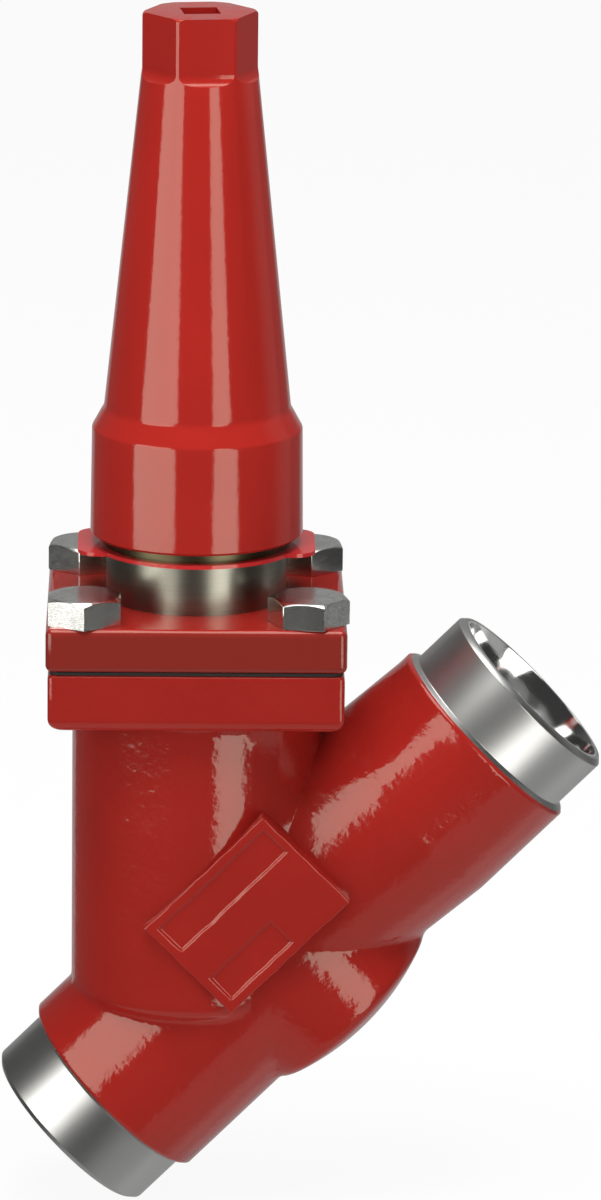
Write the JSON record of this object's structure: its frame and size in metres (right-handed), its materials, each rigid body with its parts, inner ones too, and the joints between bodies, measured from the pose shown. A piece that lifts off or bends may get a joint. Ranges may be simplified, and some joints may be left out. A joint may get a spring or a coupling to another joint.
{
  "type": "shut-off valve",
  "caption": "Straight-through shut-off valve with butt-weld ends, angled spindle, bolted bonnet and a long screwed sealing cap over the spindle.",
  "frame": {"origin": "centre of the inlet weld face", "axes": "+Z along the spindle towards the cap, +X towards the outlet side, the pipe axis in the XZ plane at 45 degrees to +Z"},
  "size_m": [0.1432, 0.0722, 0.2908],
  "materials": {
    "red_enamel_casting": "glossy enamel on a casting; weld ends and shoulders machined bare",
    "red_enamel_cap": "glossy enamel, smooth",
    "tag_enamel": "glossy, thin sheet",
    "turned_steel": "glossy enamel on the flange, turned neck left bare",
    "machined_steel": "turned",
    "gland_steel": "turned",
    "washer_steel": "turned",
    "spring_steel": "satin",
    "stainless_bolts": "bright, drawn",
    "stainless_spindle": "ground",
    "ball_steel": "polished",
    "gasket_fibre": "matt",
    "gasket_brass": "satin",
    "seat_plastic": "smooth",
    "packing_plastic": "smooth",
    "o_ring_rubber": "smooth"
  },
  "bodies": {
    "housing_body": {"valve_housing": "red_enamel_casting", "bonnet": "turned_steel", "bonnet_gasket": "gasket_fibre", "bonnet_bolts": "stainless_bolts", "id_tag": "tag_enamel", "packing_base_washer": "washer_steel", "packing_rings": "packing_plastic", "packing_top_washer": "washer_steel", "disc_springs": "spring_steel", "packing_gland": "gland_steel", "gland_seal_ring": "o_ring_rubber", "gland_wiper_ring": "o_ring_rubber"},
    "cone_body": {"valve_cone": "machined_steel", "seat_ring": "seat_plastic", "seat_retainer": "machined_steel", "retainer_screw": "stainless_bolts", "cone_nut": "machined_steel", "cone_lock_screw": "stainless_bolts", "thrust_ball": "ball_steel"},
    "spindle_body": {"spindle": "stainless_spindle", "back_seat_ring": "packing_plastic"},
    "cap_gasket_body": {"cap_gasket": "gasket_brass"},
    "cap_body": {"cap": "red_enamel_cap"}
  },
  "joints": [
    {"name": "cone_lift", "type": "slide", "parent": "housing_body", "child": "cone_body", "axis": [0, 0, 1], "range_m": [0, 0.015]},
    {"name": "spindle_turn", "type": "hinge", "parent": "cone_body", "child": "spindle_body", "pos_m": [0.03005, 0, 0.13005], "axis": [0, 0, 1], "range_deg": [0, 1351]},
    {"name": "cap_lift", "type": "slide", "parent": "housing_body", "child": "cap_gasket_body", "axis": [0, 0, 1], "range_m": [0, 0.075]},
    {"name": "cap_turn", "type": "hinge", "parent": "cap_gasket_body", "child": "cap_body", "pos_m": [0.03005, 0, 0.16005], "axis": [0, 0, 1], "range_deg": [0, 13501]}
  ],
  "couplings": [
    {"joint": "spindle_turn", "follows": "cone_lift", "rad_per_m": 1570.8},
    {"joint": "cap_turn", "follows": "cap_lift", "rad_per_m": 3141.6}
  ]
}
